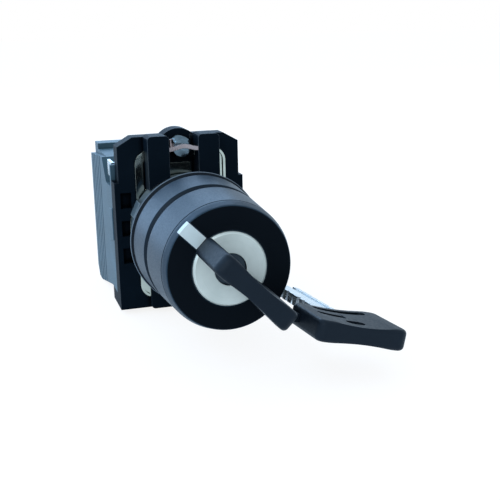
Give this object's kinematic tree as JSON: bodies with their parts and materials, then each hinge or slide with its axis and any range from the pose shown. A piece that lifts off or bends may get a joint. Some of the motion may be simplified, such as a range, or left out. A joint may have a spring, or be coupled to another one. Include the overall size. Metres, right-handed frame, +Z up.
{
  "type": "selector key switch",
  "caption": "Key-operated two-position panel selector switch with tapered black head, keyed lock, fixing collar, contact blocks and a spare key.",
  "frame": {"origin": "on the switch axis, in the front plane of the panel, where the gasket seats", "axes": "+Y along the neck, towards the back of the panel; +Z up; the head and key face -Y"},
  "size_m": [0.0446, 0.0933, 0.0423],
  "materials": {
    "head_plastic": "fine moulded texture, black",
    "collar_plastic": "moulded, black",
    "block_plastic": "moulded, dark grey",
    "bow_plastic": "moulded over the blade, black",
    "grey_plastic": "moulded, light grey",
    "white_plastic": "moulded, white",
    "rubber": "moulded, black",
    "satin_steel": "satin",
    "key_steel": "nickel plated, milled",
    "steel": "zinc plated",
    "zinc_steel": "yellowish zinc plated",
    "brass": "machined"
  },
  "bodies": {
    "head": {"bezel": "head_plastic", "gasket": "rubber", "neck": "head_plastic", "lock_barrel": "brass", "stop_pin": "steel"},
    "selector": {"selector_ring": "head_plastic", "pointer": "white_plastic", "lock_disc": "satin_steel", "lock_plug": "brass", "wafers": "brass", "plug_clip": "steel", "cam": "block_plastic", "cam_screw": "steel"},
    "key": {"key_blade": "key_steel", "key_bow": "bow_plastic", "spare_blade": "key_steel", "spare_bow": "bow_plastic", "key_strap": "bow_plastic"},
    "collar": {"collar": "collar_plastic", "clamp_frame": "zinc_steel", "clamp_screw": "steel", "wave_strip": "steel", "left_housing": "block_plastic", "left_cover": "block_plastic", "left_terminals": "brass", "left_screws": "steel", "left_clamps": "steel", "left_spring": "steel", "right_housing": "block_plastic", "right_cover": "block_plastic", "right_terminals": "brass", "right_screws": "steel", "right_clamps": "steel", "right_spring": "steel"},
    "locking_ring": {"locking_ring": "grey_plastic"},
    "left_plunger": {"left_plunger": "white_plastic", "left_bridge": "brass"},
    "right_plunger": {"right_plunger": "white_plastic", "right_bridge": "brass"}
  },
  "joints": [
    {"name": "selector_turn", "type": "hinge", "parent": "head", "child": "selector", "pos_m": [0, -0.02, 0], "axis": [0, 1, 0], "range_deg": [0, 90]},
    {"name": "key_withdraw", "type": "slide", "parent": "selector", "child": "key", "axis": [0, -1, 0], "range_m": [0, 0.028]},
    {"name": "collar_release", "type": "slide", "parent": "head", "child": "collar", "axis": [0, 1, 0], "range_m": [0, 0.035]},
    {"name": "locking_ring_turn", "type": "hinge", "parent": "collar", "child": "locking_ring", "pos_m": [0, 0.011, 0], "axis": [0, -1, 0], "range_deg": [0, 25]},
    {"name": "left_plunger_slide", "type": "slide", "parent": "collar", "child": "left_plunger", "axis": [0, 1, 0], "range_m": [0, 0.003], "deforming": ["left_spring"]},
    {"name": "right_plunger_slide", "type": "slide", "parent": "collar", "child": "right_plunger", "axis": [0, 1, 0], "range_m": [0, 0.003], "deforming": ["right_spring"]}
  ],
  "couplings": [
    {"joint": "left_plunger_slide", "follows": "selector_turn", "m_per_rad": 0.0019},
    {"joint": "right_plunger_slide", "follows": "selector_turn", "m_per_rad": 0.0019}
  ]
}
